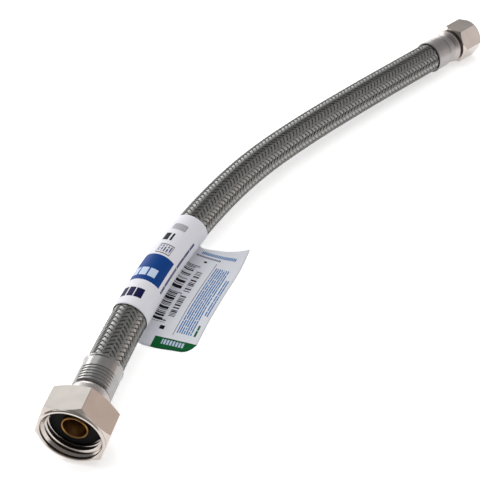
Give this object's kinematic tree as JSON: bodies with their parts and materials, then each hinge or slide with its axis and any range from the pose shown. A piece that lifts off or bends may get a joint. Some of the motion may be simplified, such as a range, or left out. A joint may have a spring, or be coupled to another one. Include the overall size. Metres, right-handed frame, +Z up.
{
  "type": "braided supply line",
  "caption": "Flexible braided water hose with a crimped ferrule and swivelling hex nut on each end, a wide pipe-thread nut and a small compression nut, and a flag label round it.",
  "frame": {"origin": "the middle of the part's footprint on the surface that it lies on, with the hose lying in a gentle bow", "axes": "+X from the pipe-thread end to the compression end, +Y to the side that the hose bows to, +Z up"},
  "size_m": [0.3042, 0.0494, 0.0264],
  "materials": {
    "tube_rubber": "matt black rubber, dark between the wires",
    "braid": "woven stainless-steel wire, satin, dark in the gaps",
    "nickel_plate": "bright nickel plate over brass, slightly warm and lightly brushed",
    "stem_brass": "machined brass, plated outside the nut",
    "ferrule_steel": "crimped stainless steel, satin",
    "washer_rubber": "matt black rubber",
    "label_film": "white label film with plain printed blocks and bars"
  },
  "bodies": {
    "hose": {"inner_tube": "tube_rubber", "braid_sleeve": "braid", "fip_stem": "stem_brass", "comp_stem": "stem_brass", "fip_ferrule": "ferrule_steel", "comp_ferrule": "ferrule_steel", "fip_washer": "washer_rubber", "comp_cone_washer": "washer_rubber", "flag_label": "label_film"},
    "fip_swivel": {"fip_nut": "nickel_plate"},
    "comp_swivel": {"comp_nut": "nickel_plate"}
  },
  "joints": [
    {"name": "fip_nut_turn", "type": "hinge", "parent": "hose", "child": "fip_swivel", "pos_m": [-0.14816, -0.01258, 0.01349], "axis": [0.9423, 0.3314, -0.047], "continuous": true},
    {"name": "comp_nut_turn", "type": "hinge", "parent": "hose", "child": "comp_swivel", "pos_m": [0.15019, -0.01233, 0.0085], "axis": [-0.9697, 0.2444, 0], "continuous": true}
  ]
}
